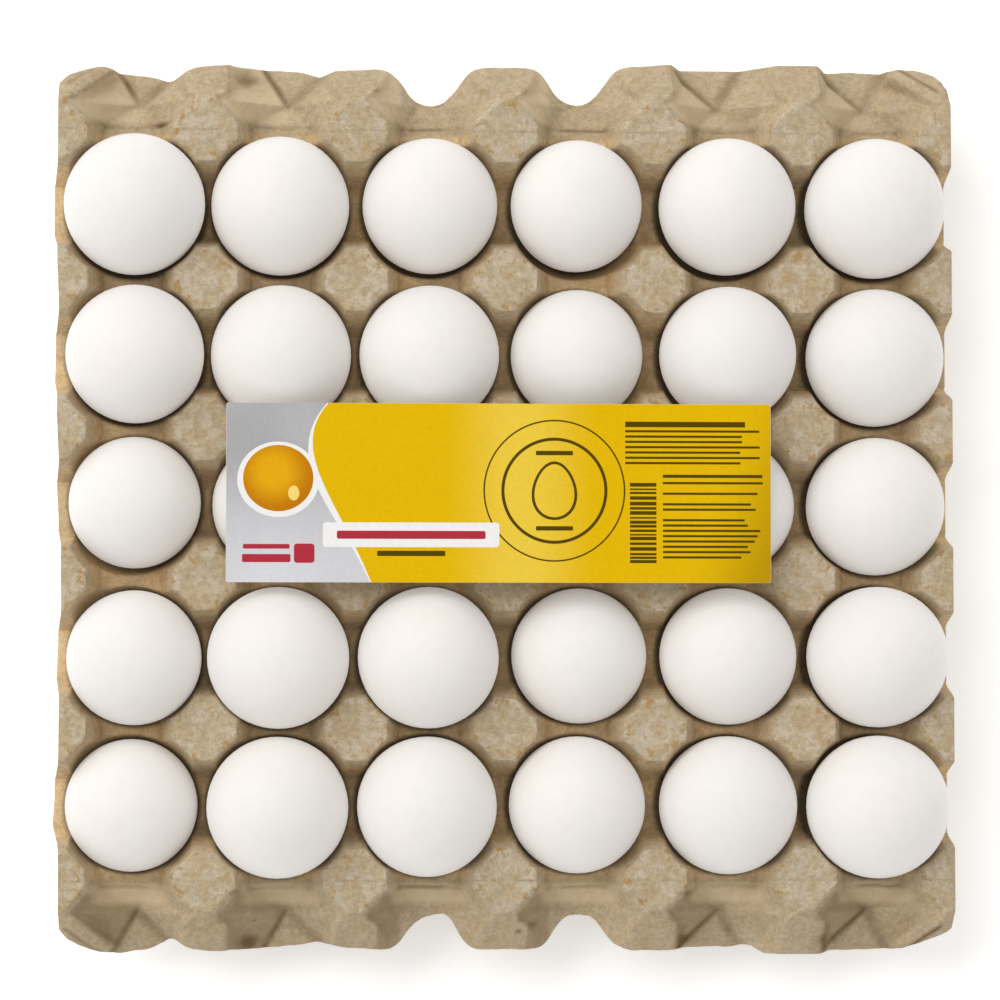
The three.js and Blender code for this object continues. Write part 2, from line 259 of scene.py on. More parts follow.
def flange_place(x):
    """The column that x lies in, and the distance from its middle towards the tray's middle."""
    column = np.clip(np.floor((x + SIDE) / PITCH), 0, COLUMNS - 1).astype(int)
    middle = column_middle(column)
    return column, (x - middle) * -np.sign(middle)


def flange_height(x, v, under):
    """Height over the flange, v outwards from the last line of posts."""
    x, v = np.clip(x, -SIDE + 0.01, SIDE - 0.01), np.minimum(v, OUT - 0.01)
    column, towards = flange_place(x)
    height = np.empty(x.shape)
    for k in range(COLUMNS):
        here = column == k
        height[here] = on_facets(towards[here], v[here], FACETS[cell_kind(k)], under)
    return height


def raw_height(x, y, under):
    """Height of the tray before its edges are rounded."""
    out = outwards(y)
    height = np.minimum(cup_height(x, y, under), ridge_height(x, y, under))
    height[out > 0] = flange_height(x[out > 0], out[out > 0], under)
    return height


def from_line(p, v, start, end, longest=1.0):
    """Distance from a straight line, which may run on past its end to longest times its length."""
    along = np.subtract(end, start)
    share = ((p - start[0]) * along[0] + (v - start[1]) * along[1]) / (along @ along)
    share = np.clip(share, 0.0, longest)
    return np.hypot(p - start[0] - share * along[0], v - start[1] - share * along[1])


def lip_folds(x, y, width=0.85):
    """From 0 to 1 along the folds of the lips; the fold on the right of each is wider and fainter."""
    v = outwards(y)
    column, towards = flange_place(x)
    strongest = np.zeros(np.shape(x))
    for number, foot in enumerate(LIP_FEET):
        away = from_line(towards, v, (LIP_TIP, VALLEY), foot, 1.3)
        on_right = (column < COLUMNS // 2) == (number == 0)
        wide = np.where(on_right, 1.9, 1.1) * width
        depth = np.where(on_right, 0.6, 1.0) * (0.75 + 0.25 * noise(x, y, 5.0, 51))
        strongest = np.maximum(strongest, depth * np.exp(-np.square(away / wide)))
    return np.where(np.isin(column, NOTCHED), 0.0, strongest)


CORNER_CREASE = [(3.9, 15.6), (14.8, 24.2)]  # its ends, in from the side and out from the last posts


def corner_groove(x, y):
    """The crease outside the folded ridge that cuts each corner of the tray."""
    away = from_line(SIDE - np.abs(x), outwards(y), *CORNER_CREASE)
    depth = 0.55 + 0.45 * noise(np.sign(x) * 3.3, np.sign(y) * 4.1, 1.0, 8)
    return depth * np.exp(-np.square(away / 0.75))


# Small dents in the flanges: place along the rows, side, distance out, half width, half depth, strength.
DENTS = [(-83.5, -1, 20.8, 4.0, 2.6, 1.0), (58.8, -1, 20.4, 2.0, 3.2, 1.0), (105.6, -1, 20.0, 2.4, 3.4, 1.0),
         (-84.4, 1, 19.0, 5.0, 2.4, 0.8), (4.6, -1, 17.0, 1.3, 1.0, 0.7), (9.2, -1, 14.8, 1.6, 1.0, 0.6),
         (-113.0, 1, 3.4, 3.4, 0.9, 1.0), (-88.0, -1, 3.6, 2.2, 0.8, 0.6), (60.4, -1, 4.4, 2.4, 1.0, 0.7)]


def dents(x, y):
    """From 0 to 1 in the small dents of the flanges."""
    found = np.zeros(np.shape(x))
    for place, side, out, half_width, half_depth, strength in DENTS:
        ragged = 1 + 0.35 * noise(x, y, 2.3, 61)
        away = np.hypot((x - place) / half_width, (y - side * (LAST_POST + out)) / half_depth) * ragged
        found = np.maximum(found, strength * np.exp(-np.square(away * 1.1)))
    return found


LIP_LENGTH = 10.5  # of its left fold, measured outwards
NOTCH_WALL_END = 15.0  # where the left wall of a notched recess ends, from the post's own line


def recess_wall(x, y, z):
    """From 0 to 1 on a recess's left wall: beside the post on its left, as far as the lip. The material
    paints shade with it on the near side and light on the far side.
    """
    v = outwards(y)
    column, _ = flange_place(x)
    p = np.mod(x + SIDE, PITCH)
    on_left = column < COLUMNS // 2
    apex = np.where(on_left, HALF + LIP_TIP, HALF - LIP_TIP)
    foot = np.where(on_left, HALF + LIP_FEET[1][0], HALF - LIP_FEET[0][0])
    leg = apex + (foot - apex) * np.clip((v - VALLEY) / LIP_LENGTH, 0, 1.2)
    end = np.where(np.isin(column, NOTCHED), NOTCH_WALL_END, leg)
    start = np.where(v > 13.5, 6.8, 3.0)
    found = smooth((end - p) / np.where(v > VALLEY, 2.0, 9.0) + 0.5) * smooth((p - start) / 1.2)
    found *= smooth((v - 3.4) / 2.2) * smooth((46.0 - z) / 3.0)
    corner_ridge = 12.0 + (p - 7.0) * 0.829  # it runs slantwise across the corner cell
    found = np.where(column == 0, found * smooth(corner_ridge - v), found)
    return found * (0.86 + 0.14 * noise(x, y, 4.0, 71))


def recess_floor(x, y):
    """From 0 to 1 on the floor of a recess, just outside the cup, where painted light lifts the eggs'
    shadows on the near side.
    """
    v = outwards(y)
    aside = np.abs(np.mod(x + SIDE, PITCH) - HALF)
    return smooth((v - 0.5) / 2.0) * smooth((9.5 - v) / 3.0) * smooth((14.0 - aside) / 4.0)


def band_groove(x, y):
    """A pressed groove where the band beside the outer cups turns into the recess."""
    v = outwards(y)
    column, towards = flange_place(x)
    depth = 0.62 + 0.38 * noise(column * 3.7, np.sign(y) * 5.1, 1.0, 41)
    middle = 2.7 + 0.25 * noise(x, 0 * x, 4.0, 42)
    reach = smooth((10.5 - np.abs(towards + 1.5)) / 6.0)
    return depth * reach * np.exp(-np.square((v - middle) / 0.55))


def soft_patch(*rings):
    """Points spread over a round patch: its middle, and rings given as reach and count."""
    return [(0.0, 0.0)] + [
        (reach * math.cos(turn), reach * math.sin(turn))
        for reach, count in rings
        for turn in (2 * math.pi * k / count for k in range(count))
    ]


def averaged(x, y, patch, under=False):
    """Mean height over a patch laid round each point."""
    return sum(raw_height(x + a, y + b, under) for a, b in patch) / len(patch)


# Pressed pulp has no sharp edge: the height is averaged over a small round patch. The hollows of
# the flanges are rounder than its edges.
EDGE_PATCH = soft_patch((0.3, 5), (0.6, 8))
UNDER_PATCH = soft_patch((0.5, 5), (1.1, 8))
HOLLOW_PATCH = soft_patch((1.3, 6), (2.6, 10), (3.8, 14))


def tray_height(x, y, under=False):
    if under:
        return np.maximum(averaged(x, y, UNDER_PATCH, True), 0.0)
    height = averaged(x, y, EDGE_PATCH)
    out = outwards(y)
    hollow = (out > 1.5) & (out < 12.5)
    hx, hy = x[hollow], y[hollow]
    share = smooth((out[hollow] - 2.5) / 1.5) * smooth((11.0 - out[hollow]) / 4.0) * 0.7
    fuller = np.maximum(averaged(hx, hy, HOLLOW_PATCH) - height[hollow], 0.0)
    height[hollow] += fuller * share
    height -= 0.9 * lip_folds(x, y) + 0.9 * band_groove(x, y) + 0.8 * corner_groove(x, y)
    height -= 1.1 * dents(x, y)
    lift = 0.16 * noise(x, y, 9.0, 3) + 0.12 * noise(x, y, 3.7, 5) + 0.07 * noise(x, y, 1.6, 7)
    return height + lift * smooth((height - 1.5) / 6.0)


# ---- the tray's mesh
# Stations along half a cell's border, with the direction in which each is seen from the cup.
HALF_STATIONS = [0, 2.1, 4.2, 6.2, 8.0, 9.4, 10.8, 12.2, 13.5, 14.3, 15.4, 17.2, 19.4, 21.9, 24.5]
STATION_TURN = [(0, 0), (9.17, 25.0), (14.0, 33.6), (24.5, 45.0)]
# The edge at the tray's two sides stands out beside the half posts and draws in between them.
SIDE_REACH = 23.9  # from the middle of the last column's cells
SIDE_EDGE = [(0, 26.1), (8.2, 26.1), (10.5, 25.3), (13.2, 24.1), (14.6, SIDE_REACH), (24.5, SIDE_REACH)]
SHIFTED_FROM = 14.3  # stations beyond this one move in, so that the last one meets the side edge

# The pressed outline of both flanges, as distances from the last line of posts.
FAR_RIM = [
    (-147, 15.2), (-144, 18.6), (-139, 21.3), (-133, 22.6), (-126, 22.2), (-118, 21.2), (-110.6, 19.2),
    (-107, 20.2), (-101, 22.6), (-97, 23.1), (-86, 23.8), (-78, 24), (-66, 23), (-60.5, 21.2),
    (-54, 21.4), (-48, 22), (-38.5, 22.2), (-36.8, 21.6), (-33.4, 17.8), (-30.6, 13.6), (-27.5, 11.6),
    (-23.6, 10.9), (-19.6, 12.2), (-16.2, 15.6), (-12.6, 20.6), (-10.6, 22.8), (-6, 23.2), (8, 23.3),
    (12, 22.9), (14.5, 19.8), (17.4, 14.8), (21, 12.4), (25, 11.8), (28.6, 12.6), (32, 16),
    (35.2, 20.4), (37.4, 23.4), (42, 24), (49, 24.4), (58, 25.3), (76, 25.3), (82.4, 25),
    (88, 25), (94, 25.3), (103, 25.3), (106.4, 25.2), (109, 24.4), (116, 25), (124, 24.8),
    (132, 24.2), (139, 23.8), (144, 22.2), (147, 19.4),
]
NEAR_RIM = [
    (-147, 14.4), (-145, 18.4), (-140, 21), (-133, 23.4), (-126, 24.8), (-116, 23.2), (-111, 20.6),
    (-108.6, 19.2), (-106, 20.6), (-103, 22.6), (-97, 23.3), (-78, 23.2), (-68, 22.2), (-60.6, 21),
    (-57, 21.4), (-50, 22.4), (-38, 23.2), (-34.6, 21.8), (-31, 16.6), (-27.6, 13.4), (-22, 11.8),
    (-18.4, 11.6), (-16, 14.8), (-13.4, 20.6), (-10.4, 22.8), (-6, 23.1), (11, 23.1), (14.4, 21.2),
    (17.6, 15.6), (20.6, 12.8), (25, 12), (29.4, 12.4), (32.6, 16.4), (36.2, 21.4), (41, 23.5),
    (47, 23.6), (58, 23.4), (66, 23.2), (76, 23.2), (81.6, 22.2), (87, 25.2), (93, 25.3), (100, 25.3),
    (108, 24.6), (121, 24.4), (129, 23.8), (137, 21.6), (144, 18.2), (147, 15.8),
]


def rim_reach(x, side):
    """How far out the flange runs at x, on the far side (+1) or the near side (-1)."""
    points = FAR_RIM if side > 0 else NEAR_RIM
    soft = [table_of(x + shift, points) for shift in (-1.4, -0.7, 0.0, 0.7, 1.4)]
    rough = 0.16 * noise(x, 0 * x + side * 9, 3.1, 11) + 0.07 * noise(x, 0 * x, 1.2, 12)
    return np.minimum(sum(soft) / len(soft) + rough, RIM_LONG - 0.15)


def cell_border(column):
    """Border points of a cell round its middle, and the directions in which they lie."""
    half = np.array(HALF_STATIONS)
    along = np.concatenate([-half[:0:-1], half])
    turn = np.sign(along) * table_of(np.abs(along), STATION_TURN)
    edge = table_of(np.abs(along), SIDE_EDGE)
    points, turns = [], []
    for quarter in range(4):
        across = np.full_like(along, HALF)
        run = along.copy()
        if (quarter == 0 and column == COLUMNS - 1) or (quarter == 2 and column == 0):
            across = edge
        if quarter in (1, 3) and column in (0, COLUMNS - 1):
            outer = 1 if (quarter == 1) == (column == 0) else -1
            beyond = np.maximum(outer * run - SHIFTED_FROM, 0.0)
            run -= outer * beyond * (HALF - SIDE_REACH) / (HALF - SHIFTED_FROM)
        c, s = [(1, 0), (0, 1), (-1, 0), (0, -1)][quarter]
        border = np.column_stack([c * across - s * run, s * across + c * run])
        points.append(border[:-1])
        turns.append((turn + 90 * quarter)[:-1])
    return np.concatenate(points), np.radians(np.concatenate(turns))


def mouth_radius(cx, cy, turns, reach, under):
    """Where the cup wall meets the posts and saddles, in each direction."""
    low, high = np.full_like(turns, 18.0), reach.copy()
    for _ in range(24):
        middle = (low + high) / 2
        x, y = cx + middle * np.cos(turns), cy + middle * np.sin(turns)
        inside = cup_height(x, y, under) < ridge_height(x, y, under)
        low, high = np.where(inside, middle, low), np.where(inside, high, middle)
    return np.minimum(low, reach - 0.5)


# How a cell's rings divide its cone, its steep wall and what lies outside its mouth.
RING_SHARES = {False: ((0.22, 0.5, 0.78, 1.0), (0.3, 0.6, 1.0), (0.35, 0.7, 1.0)),
               True: ((0.3, 0.65, 1.0), (0.5, 1.0), (0.5, 1.0))}


def cell_rings(cx, cy, column, under):
    """Plan positions of a cell's rings, from its floor out to its border."""
    border, turns = cell_border(column)
    facing = np.column_stack([np.cos(turns), np.sin(turns)])
    reach = np.hypot(border[:, 0], border[:, 1])
    mouth = mouth_radius(cx, cy, turns, reach, under)
    knee = np.minimum(KNEE_RADIUS, mouth - 1.0)
    start = FLOOR_RADIUS + (1.6 if under else 0.6)
    radii = [FLOOR_RADIUS - 0.4 + 0 * mouth, start + 0 * mouth]
    cone, wall, outside = RING_SHARES[under]
    radii += [start + (knee - start) * share for share in cone]
    radii += [knee + (mouth - 0.7 - knee) * share for share in wall]
    spare = np.minimum(0.8, (reach - mouth) * 0.6)
    radii += [mouth + spare] if under else [mouth - 0.25, mouth + 0.25 * spare, mouth + spare]
    rings = [facing * radius[:, None] for radius in radii]
    last = rings[-1]
    rings += [last + (border - last) * share for share in outside]
    return [ring + (cx, cy) for ring in rings]


class Surface:
    """Plan points and faces that share a point wherever two pieces meet."""

    def __init__(self):
        self.points = []
        self.index = {}
        self.faces = []

    def add(self, plan):
        found = []
        for x, y in np.round(plan, 3) + 0.0:
            key = (x, y)
            if key not in self.index:
                self.index[key] = len(self.points)
                self.points.append(key)
            found.append(self.index[key])
        return found

    def face(self, corners):
        kept = [c for i, c in enumerate(corners) if c != corners[i - 1]]
        if len(set(kept)) == len(kept) and len(kept) > 2:
            self.faces.append(kept)


FLANGE_STEP = 0.65  # between the columns of a flange's grid
FLANGE_LINES = 41  # rows of its grid, from the last line of posts to the rim


def add_flange(surface, side, stations, under):
    """A fine grid over one flange. The underside has a coarser one, with the same outer edge."""
    spread = np.arange(-SIDE, SIDE, FLANGE_STEP)
    apart = np.abs(spread[:, None] - stations[None, :]).min(axis=1) > FLANGE_STEP / 3
    x = np.sort(np.concatenate([stations, spread[apart & (np.abs(spread) < 146)]]))
    coarse = [int(k) for k in np.searchsorted(x, stations)]
    reach = rim_reach(x, side)
    last_row, last_column = FLANGE_LINES - 1, len(x) - 1
    out = [np.round(reach * row / last_row, 3) for row in range(FLANGE_LINES)]
    wanted = {}

    def corner(row, column):
        if (row, column) not in wanted:
            place = (x[column], side * (LAST_POST + out[row][column]))
            wanted[row, column] = surface.add([place])[0]
        return wanted[row, column]

    rows = list(range(0, last_row, 4 if under else 1)) + [last_row]
    columns = coarse if under else list(range(len(x)))
    for r0, r1 in zip(rows, rows[1:]):
        across = coarse if r0 == 0 else columns
        for c0, c1 in zip(across, across[1:]):
            above = range(len(x)) if r1 == last_row else columns
            far = [c for c in above if c0 <= c <= c1]
            start = list(range(r0, r1 + 1)) if c0 == 0 else [r0, r1]
            end = list(range(r0, r1 + 1)) if c1 == last_column else [r0, r1]
            ring = [(r0, c0)] + [(r, c1) for r in end] + [(r1, c) for c in far[-2::-1]]
            ring += [(r, c0) for r in start[-2:0:-1]]
            ring = [corner(*place) for place in ring]
            surface.face(ring if side > 0 else ring[::-1])


def tray_surface(under):
    """The whole top or underside in plan: the cells ring by ring, and both flanges."""
    surface = Surface()
    for row in range(ROWS):
        for column in range(COLUMNS):
            cx, cy = column_middle(column), row_middle(row)
            rings = [surface.add(r) for r in cell_rings(cx, cy, column, under)]
            middle = surface.add([(cx, cy)])[0]
            count = len(rings[0])
            for k in range(count):
                n = (k + 1) % count
                surface.face([middle, rings[0][k], rings[0][n]])
                for inner, outer in zip(rings, rings[1:]):
                    surface.face([inner[k], outer[k], outer[n], inner[n]])
    for side in (1, -1):
        stations = []
        for column in range(COLUMNS):
            border, _ = cell_border(column)
            edge = border[np.abs(border[:, 1] - side * HALF) < 1e-6, 0]
            stations += list(edge + column_middle(column))
        add_flange(surface, side, np.unique(np.round(stations, 3)), under)
    return surface


def boundary_edges(faces):
    """Edges that only one face has, in that face's own direction."""
    seen = dict.fromkeys(edge for face in faces for edge in zip(face, face[1:] + face[:1]))
    return [(a, b) for a, b in seen if (b, a) not in seen]


# How far the left edge is drawn in, from the near end of the tray to the far end.
LEFT_EDGE = [
    (-147, 1.5), (-112, 1.3), (-104, 0.5), (-96, 1.1), (-60, 1.4), (-44, 2.0), (-18, 1.7), (-4, 1.9),
    (10, 1.1), (30, 0.1), (50, 0.7), (66, 0.6), (80, 0.0), (147, 0.0),
]


def warped(plan):
    """A slight unevenness in plan, which keeps within the tray's outline."""
    x, y = plan[:, 0], plan[:, 1]
    inside = smooth((146.0 - np.abs(x)) / 12) * smooth((140.0 - np.abs(y)) / 12)
    dx = 0.28 * noise(x, y, 23, 21) + 0.14 * noise(x, y, 7, 22)
    dy = 0.28 * noise(x, y, 23, 23) + 0.14 * noise(x, y, 7, 24)
    drawn_in = table_of(y, LEFT_EDGE) * smooth((-x - 134) / 11)
    pushed_out = 0.9 * smooth((x - 136) / 9) * smooth((147.8 - x) / 1.4)
    return np.column_stack([x + dx * inside + drawn_in + pushed_out, y + dy * inside])


def tray_mesh():
    """The tray's points and faces, and how many of the points, the first ones, are on its top."""
    top, base = tray_surface(False), tray_surface(True)
    top_plan, base_plan = np.array(top.points), np.array(base.points)
    top_z = tray_height(top_plan[:, 0], top_plan[:, 1])
    base_z = tray_height(base_plan[:, 0], base_plan[:, 1], under=True)
    count = len(top_plan)
    faces = top.faces + [[count + c for c in reversed(face)] for face in base.faces]
    edges = boundary_edges(top.faces)
    rim = sorted({c for edge in edges for c in edge})
    below = {c: count + base.index[top.points[c]] for c in rim}
    faces += [[b, a, below[a], below[b]] for a, b in edges]
    top_z[rim] -= 0.3
    for c in rim:
        base_z[below[c] - count] = np.minimum(base_z[below[c] - count], top_z[c] - 1.0)
    plan = warped(np.vstack([top_plan, base_plan]))
    return np.column_stack([plan, np.concatenate([top_z, base_z])]), faces, count


# ---- objects and materials
def placed(name, data):
    """A new object for a mesh, a lamp or a camera, put into the scene."""
    made = bpy.data.objects.new(name, data)
    bpy.context.scene.collection.objects.link(made)
    return made


def mesh_object(name, points, faces, material, smooth_angle=None):
    """A mesh from millimetre points, riding on the tray's body."""
    mesh = bpy.data.meshes.new(name)
    mesh.from_pydata((np.asarray(points) * MM).tolist(), [], [list(f) for f in faces])
    mesh.update()
    if smooth_angle:
        mesh.polygons.foreach_set("use_smooth", [True] * len(mesh.polygons))
        mesh.set_sharp_from_angle(angle=math.radians(smooth_angle))
    mesh.materials.append(material)
    made = placed(name, mesh)
    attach(made, "root")
    return made


class Nodes:
    """Shorthand for building one material's node tree."""

    def __init__(self, name, **constants):
        self.material = bpy.data.materials.new(name)
        self.material.use_nodes = True
        self.material.cycles.emission_sampling = "NONE"  # the glows are too faint to be lamps
        self.tree = self.material.node_tree
        self.shader = self.tree.nodes["Principled BSDF"]
        for key, value in constants.items():
            self.shader.inputs[key.replace("_", " ")].default_value = value

    def add(self, kind, inputs=None, **settings):
        node = self.tree.nodes.new(kind)
        for key, value in settings.items():
            setattr(node, key, value)
        for key, value in (inputs or {}).items():
            self.put(node.inputs[key], value)
        return node

    def put(self, socket, value):
        if isinstance(value, bpy.types.Node):
            value = value.outputs[0]
        if isinstance(value, bpy.types.NodeSocket):
            self.tree.links.new(value, socket)
        else:
            socket.default_value = value

    def place(self):
        return self.add("ShaderNodeTexCoord").outputs["Object"]

    def along(self, axis):
        """A point's distance from the middle of the tray along one axis, in metres."""
        return self.add("ShaderNodeSeparateXYZ", {"Vector": self.place()}).outputs[axis]

    def attribute(self, name):
        return self.add("ShaderNodeAttribute", attribute_name=name).outputs["Fac"]

    def noise(self, size, detail=3.0, rough=0.55):
        """Fractal noise from 0 to 1 with features about size millimetres wide."""
        inputs = {"Vector": self.place(), "Scale": 1 / (size * MM), "Detail": detail, "Roughness": rough}
        return self.add("ShaderNodeTexNoise", inputs).outputs[0]

    def math(self, operation, *values):
        return self.add("ShaderNodeMath", dict(enumerate(values)), operation=operation).outputs[0]

    def times(self, first, second):
        return self.math("MULTIPLY", first, second)

    def ramp(self, value, low, high, bottom=0.0, top=1.0):
        """Maps low..high to bottom..top, smoothly and clamped."""
        inputs = {"Value": value, "From Min": low, "From Max": high, "To Min": bottom, "To Max": top}
        return self.add("ShaderNodeMapRange", inputs, interpolation_type="SMOOTHSTEP").outputs[0]

    def mix(self, share, first, second, blend="MIX"):
        inputs = {"Factor": share, 6: first, 7: second}  # sockets 6 and 7 are the two colours
        return self.add("ShaderNodeMix", inputs, data_type="RGBA", blend_type=blend).outputs[2]

    def tint(self, colour, other, share, strength):
        """The colour, and over it as much of the other as its share times its strength."""
        return self.mix(self.times(share, strength), colour, rgb(*other))

    def bump(self, height, distance, strength=1.0, normal=None):
        inputs = {"Height": height, "Distance": distance * MM, "Strength": strength}
        if normal is not None:
            inputs["Normal"] = normal
        return self.add("ShaderNodeBump", inputs).outputs[0]

    def finish(self, colour=None, roughness=None, normal=None):
        for key, value in (("Base Color", colour), ("Roughness", roughness), ("Normal", normal)):
            if value is not None:
                self.put(self.shader.inputs[key], value)
        return self.material


def rgb(red, green, blue):
    """An sRGB colour, 0 to 255, as the linear colour that the shaders take."""
    return tuple(((c / 255) ** 2.2) for c in (red, green, blue)) + (1.0,)


# Stray specks in the pulp: their spacing in millimetres, their size as a share of it, and their colour.
SPECKS = [(9.0, 0.10, (112, 92, 64)), (13.0, 0.07, (140, 134, 140))]


def pulp_material():
    """Grey-brown moulded pulp: paler on the posts, browner along the folds, with fine grain, pale flecks,
    golden smudges on the posts, and stray specks. Painted light and shade: lighter and warmer in the cups,
    darker towards their bottoms, in the crevices beside the eggs and along the folds, darker on the near
    recesses' left walls, and lighter on the far ones and on the near recess floors."""
    n = Nodes("pulp", Specular_IOR_Level=0.12)
    names = ("post", "edge", "fold", "cup", "painted_wall_shade", "painted_light", "crevice")
    post, edge, fold, cup, painted_wall_shade, painted_light, crevice = (n.attribute(name) for name in names)
    blotch, cloud = n.noise(20.0, 3.0, 0.5), n.noise(4.5)
    fibre, fine = n.noise(1.9, 3.0, 0.6), n.noise(0.7, 2.0, 0.5)
    # painted light: the cups and saddles get a lighter, warmer colour, for the light bounced between the
    # eggs and the pulp
    colour = n.mix(cup, rgb(180, 162, 133), rgb(220, 189, 143))
    colour = n.mix(n.ramp(blotch, 0.38, 0.62, 0.0, 0.5), colour, rgb(175, 156, 126))
    colour = n.tint(colour, (180, 163, 136), post, 0.85)
    fleck = n.times(n.ramp(cloud, 0.50, 0.58), n.ramp(post, 0.0, 1.0, 0.12, 0.55))
    colour = n.mix(fleck, colour, rgb(194, 181, 162))
    colour = n.mix(n.ramp(cloud, 0.48, 0.36, 0.0, 0.35), colour, rgb(176, 152, 114))
    grain = n.times(n.ramp(fibre, 0.34, 0.66, 0.90, 1.09), n.ramp(fine, 0.3, 0.7, 0.91, 1.08))
    # painted shade: darker towards the bottoms of the cups, and in the crevices beside the eggs
    deep = n.times(n.ramp(n.along("Z"), 0.010, 0.026, 0.20, 0.0), cup)
    for shade in (deep, n.times(crevice, 0.80)):
        grain = n.times(grain, n.math("SUBTRACT", 1.0, shade))
    grain = n.add("ShaderNodeCombineXYZ", {"X": grain, "Y": grain, "Z": grain})
    colour = n.mix(1.0, colour, grain, "MULTIPLY")
    # painted shade: darker on the near recesses' left walls, which face away from the lamp
    colour = n.tint(colour, (140, 120, 92), painted_wall_shade, 0.6)
    # painted light: lighter on the near recess floors, where the eggs' shadows fall, and on the far
    # recesses' left walls, against their shading
    colour = n.tint(colour, (220, 199, 164), painted_light, 0.6)
    smudge = n.times(n.ramp(n.noise(2.4, 2.0, 0.5), 0.56, 0.66), edge)
    colour = n.tint(colour, (162, 128, 74), smudge, 0.75)
    # darker brown along the folds, grooves and dents: partly stain, partly painted shade in the creases
    colour = n.tint(colour, (104, 80, 50), fold, 0.85)
    for spacing, size, tone in SPECKS:
        cells = n.add("ShaderNodeTexVoronoi", {"Vector": n.place(), "Scale": 1 / (spacing * MM)})
        chosen = n.ramp(cells.outputs["Color"], 0.80, 0.82)
        spot = n.times(n.ramp(cells.outputs["Distance"], size * 0.4, size, 1.0, 0.0), chosen)
        colour = n.tint(colour, tone, spot, 0.7)
    from_seam = n.math("SUBTRACT", n.math("ABSOLUTE", n.along("Y")), LAST_POST * MM)
    seam = n.times(n.ramp(n.math("ABSOLUTE", from_seam), 0.0001, 0.0006, 0.35, 0.0), post)
    colour = n.tint(colour, (130, 108, 76), seam, n.ramp(cloud, 0.4, 0.6))
    normal = n.bump(fibre, 0.22, 0.5, n.bump(cloud, 0.5, 0.4))
    normal = n.bump(fine, 0.10, 0.5, normal)
    return n.finish(colour, n.ramp(fibre, 0.3, 0.7, 0.84, 0.97), normal)


def shell_material():
    """Matt white eggshell with a trace of warmth, faint mottling and fine pores. It glows a little, and most
    where it stands out of the cup: painted light that lifts its shaded sides and brightens the cups round
    it."""
    n = Nodes("eggshell", Specular_IOR_Level=0.12, Sheen_Weight=0.40, Sheen_Roughness=0.5,
              Emission_Color=(1.0, 0.96, 0.92, 1.0))
    # painted light: the shell glows, more strongly higher up
    n.put(n.shader.inputs["Emission Strength"], n.ramp(n.along("Z"), 0.034, 0.048, 0.11, 0.18))
    tone, mottle, pores = n.noise(38.0, 2.0, 0.5), n.noise(4.0, 4.0, 0.6), n.noise(0.55, 3.0, 0.6)
    colour = n.mix(n.ramp(tone, 0.35, 0.65), rgb(212, 209, 207), rgb(215, 211, 207))
    colour = n.mix(n.ramp(mottle, 0.4, 0.7, 0.0, 0.3), colour, rgb(207, 203, 200))
    normal = n.bump(pores, 0.05, 0.5, n.bump(mottle, 0.10, 0.4))
    return n.finish(colour, n.ramp(mottle, 0.3, 0.7, 0.46, 0.58), normal)


def beside_eggs(x, y, z):
    """How deep a point is in the narrow crevice between a cup and its egg, from 0 to 1; the material paints
    shade there.
    """
    near = np.zeros_like(x)
    for node in (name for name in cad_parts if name.startswith("egg")):
        low, high = (np.array(corner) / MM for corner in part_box(node))
        middle, half = (low + high) / 2, (high - low) / 2
        gap = np.hypot(x - middle[0], y - middle[1]) - (half[0] + half[1]) / 2
        near = np.maximum(near, smooth((1.9 - gap) / 1.9))
    return near * smooth((45.5 - z) / 3)


def add_tray():
    """The tray, with attributes that tell its material where each tone goes."""
    points, faces, top_count = tray_mesh()
    on_top = np.arange(len(points)) < top_count
    tray = mesh_object("pressed_tray", points, faces, pulp_material(), 38)
    x, y, z = points.T
    dx = np.abs(x - np.round(x / PITCH) * PITCH)
    dy = np.abs(y - HALF - np.round((y - HALF) / PITCH) * PITCH)
    inset = np.minimum(POST_REACH - np.maximum(dx, dy), np.hypot(HALF - dx, HALF - dy) - CUP_RADIUS)
    on_post = smooth((inset + 0.8) / 1.6) * smooth((z - 42) / 3)
    rim = smooth(1 - np.abs(inset - 1.0) / 2.6) * smooth((z - 40) / 4)
    fold = lip_folds(x, y, 0.95) + 0.5 * band_groove(x, y) + corner_groove(x, y) + dents(x, y)
    wall = np.where(on_top & (outwards(y) > 0), recess_wall(x, y, z), 0)
    # the cups, which the material paints lighter and warmer (painted light) and darker towards their bottoms
    # (painted shade)
    cup = smooth((2.0 - outwards(y)) / 4.0) * smooth((46.0 - z) / 12.0)
    tones = {
        "post": on_post,
        "edge": np.clip(rim + 0.35 * on_post, 0, 1),
        "fold": np.clip(fold * smooth((z - 12) / 4), 0, 1),
        "cup": cup * on_top,
        # painted shade on the near recesses' left walls
        "painted_wall_shade": np.where(y < 0, wall, 0),
        # painted light on the near recess floors and on the far recesses' left walls
        "painted_light": np.where(y < 0, recess_floor(x, y) * on_top, wall),
        "crevice": beside_eggs(x, y, z) * on_top,
    }
    for name, values in tones.items():
        layer = tray.data.attributes.new(name, "FLOAT", "POINT")
        layer.data.foreach_set("value", values.astype(np.float32))
    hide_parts("pulp_tray")


# ---- the eggs
EGG_TAPER = 0.12  # how much narrower an egg is towards its lower end, and wider towards its upper
EGG_SECTORS = 56
EGG_BANDS = 34


def egg_size(node):
    """Low pole, axis, length and half width of the solid that an egg stands for."""
    points = np.array([v.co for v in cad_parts[node].data.vertices]) / MM
    low, high = points[points[:, 2].argmin()], points[points[:, 2].argmax()]
    length = np.linalg.norm(high - low)
    axis = (high - low) / length
    along = (points - low) @ axis
    out = np.linalg.norm(points - low - along[:, None] * axis, axis=1)
    turn = np.arccos(np.clip(1 - 2 * along / length, -1, 1))
    factor = np.sin(turn) * (1 - EGG_TAPER * np.cos(turn))
    waist = factor > 0.6
    return low, axis, length, float((out[waist] / factor[waist]).max())


